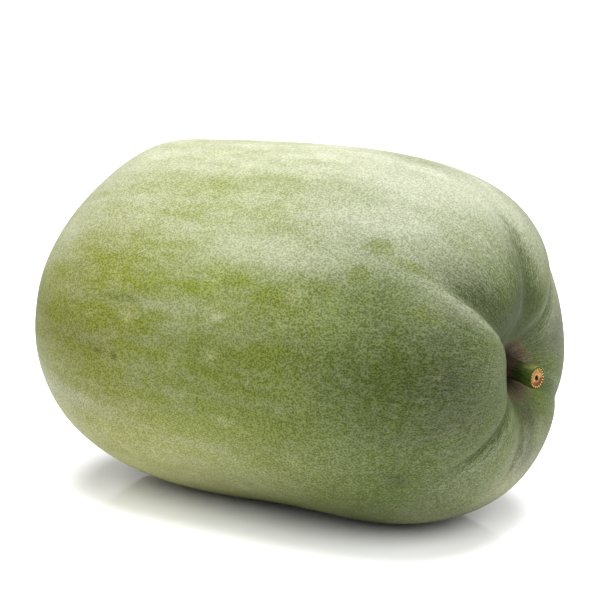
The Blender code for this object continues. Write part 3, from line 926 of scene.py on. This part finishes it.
def cut_face_colour(graph, mottle, grain):
    """The cut face: pale vessels round its rim, a tan heart, redder below, and the dark pith."""
    out = graph.measure("stem_out")
    rim = graph.blend(graph.step(graph.measure("vessels"), VESSEL_EDGE), RIM_DARK, RIM_PALE)
    heart = graph.blend(graph.step(mottle, STEM_PATCHES), HEART_DARK, HEART_PALE)
    heart = graph.blend(graph.step(graph.measure("stem_low"), RED_SIDE), heart, HEART_RED)
    ring = graph.times(graph.step(out, RING_START), graph.step(out, RING_END))
    heart = graph.blend(graph.times(ring, HEART_RING_SHARE), heart, HEART_RING)
    face = graph.blend(graph.step(out, RIM_START), heart, rim)
    face = graph.blend(graph.step(out, PITH_EDGE), face, PITH)
    return graph.darken(face, graph.step(grain, FACE_GRAIN))


def stem_material():
    """The green side and the tan cut face, both with a fine grain."""
    graph = Graph("melon_stem")
    place = graph.place()
    mottle = graph.noise(place, STEM_MOTTLE)
    grain = graph.noise(place, STEM_GRAIN)
    side = side_colour(graph, mottle, grain)
    face = cut_face_colour(graph, mottle, grain)
    graph.feed(graph.shader.inputs["Base Color"], graph.blend(graph.measure("cut"), side, face))
    graph.feed(graph.shader.inputs["Roughness"], graph.step(grain, STEM_ROUGHNESS))
    graph.shader.inputs["Specular IOR Level"].default_value = STEM_GLOSS
    graph.roughen(grain, GRAIN_HEIGHT)
    return graph.material


def make_stem(shift):
    """The cut stub, standing in its socket along +X and drooping towards its tip."""
    rings = stem_rings()
    ring, round_about, faces = closed_rings(STEM_SEGMENTS, len(rings) - 1)
    along, radius, ribbing, cut = rings[ring].T
    angle = np.radians(round_about)
    floor = skin(np.array([AT_POLE]), np.array([0.0]))[0]
    rib = np.cos(STEM_RIBS * angle)
    near_cut = smooth_step(0.5 * STEM_LENGTH, STEM_LENGTH, along)
    angles = STEM_ANGLE_HEIGHT * (1.0 - ANGLES_LOST * near_cut) * np.cos(STEM_ANGLES * angle)
    ribs = 1.0 + ribbing * (angles + STEM_RIB_HEIGHT * rib)
    side = radius * ribs * np.cos(angle)
    up = radius * ribs * np.sin(angle) * (1.0 + CUT_TALLER * near_cut)
    bent = smooth_step(stem_foot_top(), STEM_LENGTH, along)
    out = radius / (0.5 * STEM_DIAMETER)
    vessels = cut * bump(out - VESSEL_RING, VESSEL_RING_WIDTH) * (0.5 + 0.5 * rib)
    x = floor[0] - STEM_SEAT + GAP + along + CUT_SLANT * near_cut * side
    x = x + VESSEL_HEIGHT * (vessels - cut)
    points = np.stack((x, floor[1] + side, floor[2] + up - STEM_DROOP * bent), axis=-1)
    piece = finish_piece("melon_stem", points + shift, faces, stem_material())
    add_measure(piece, "stem_along", along / STEM_LENGTH)
    add_measure(piece, "stem_out", out)
    add_measure(piece, "stem_rib", (0.5 + 0.5 * np.cos(STEM_ANGLES * angle)) ** STEM_ANGLE_SHARPNESS)
    add_measure(piece, "stem_low", -np.sin(angle + STEM_LOW_TURN) * cut)
    add_measure(piece, "stem_up", np.sin(angle) * (1.0 - cut))
    add_measure(piece, "vessels", vessels)
    add_measure(piece, "cut", cut)
    return piece


def make_floor():
    bpy.ops.mesh.primitive_plane_add(size=FLOOR_SIZE)
    floor = bpy.context.active_object
    floor.name = "floor"
    graph = Graph("floor")
    graph.shader.inputs["Base Color"].default_value = FLOOR_COLOUR
    graph.shader.inputs["Roughness"].default_value = FLOOR_ROUGHNESS
    graph.shader.inputs["Specular IOR Level"].default_value = FLOOR_GLOSS
    floor.data.materials.append(graph.material)


def direction(azimuth, elevation):
    """From the origin towards an azimuth and elevation, in degrees."""
    turn, rise = np.radians(azimuth), np.radians(elevation)
    return Vector((np.sin(turn) * np.cos(rise), -np.cos(turn) * np.cos(rise), np.sin(rise)))


def make_light(light):
    """A distant soft light, aimed at the origin from its azimuth and elevation."""
    data = bpy.data.lights.new(light.name, 'SUN')
    data.energy = light.power
    data.angle = np.radians(LIGHT_WIDTH)
    lamp = bpy.data.objects.new(light.name, data)
    lamp.rotation_euler = direction(light.azimuth, light.elevation).to_track_quat('Z', 'Y').to_euler()
    bpy.context.scene.collection.objects.link(lamp)


def make_lights():
    world = bpy.data.worlds.new("studio")
    bpy.context.scene.world = world
    world.use_nodes = True
    background = world.node_tree.nodes["Background"]
    background.inputs["Color"].default_value = SKY_COLOUR
    background.inputs["Strength"].default_value = SKY_STRENGTH
    for light in LIGHTS:
        make_light(light)


def make_camera():
    """A camera at the photograph's angle, with its target at the target's pixel and no shift."""
    back = direction(CAMERA_AZIMUTH, CAMERA_ELEVATION)
    right = direction(CAMERA_AZIMUTH + 90.0, elevation=0.0)
    up = back.cross(right)
    per_pixel = CAMERA_DISTANCE * CAMERA_SENSOR / CAMERA_LENS / FRAME_PIXELS
    place = CAMERA_TARGET + back * CAMERA_DISTANCE
    aim = CAMERA_TARGET - right * (TARGET_PIXEL[0] - 0.5 * FRAME_PIXELS) * per_pixel
    aim += up * (TARGET_PIXEL[1] - 0.5 * FRAME_PIXELS) * per_pixel
    towards = (place - aim).normalized()
    side = Vector((0.0, 0.0, 1.0)).cross(towards).normalized()
    data = bpy.data.cameras.new("camera")
    data.sensor_width = CAMERA_SENSOR
    data.lens = CAMERA_LENS
    camera = bpy.data.objects.new("camera", data)
    turn = Matrix((side, towards.cross(side), towards)).transposed().to_4x4()
    camera.matrix_world = Matrix.Translation(place) @ turn
    bpy.context.scene.collection.objects.link(camera)
    bpy.context.scene.camera = camera


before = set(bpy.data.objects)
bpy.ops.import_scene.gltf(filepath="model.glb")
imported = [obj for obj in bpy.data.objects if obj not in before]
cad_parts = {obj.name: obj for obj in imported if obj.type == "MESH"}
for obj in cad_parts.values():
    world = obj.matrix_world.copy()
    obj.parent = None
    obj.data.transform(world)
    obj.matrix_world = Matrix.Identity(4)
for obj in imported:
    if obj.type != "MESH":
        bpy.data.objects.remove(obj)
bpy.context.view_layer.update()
shift = frame_shift()

skin_piece = make_skin(shift)
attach(skin_piece, "root")
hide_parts("fruit")

stem_piece = make_stem(shift)
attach(stem_piece, "root")
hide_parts("stem")

make_floor()
make_lights()
make_camera()
bpy.context.scene.view_settings.view_transform = 'Standard'
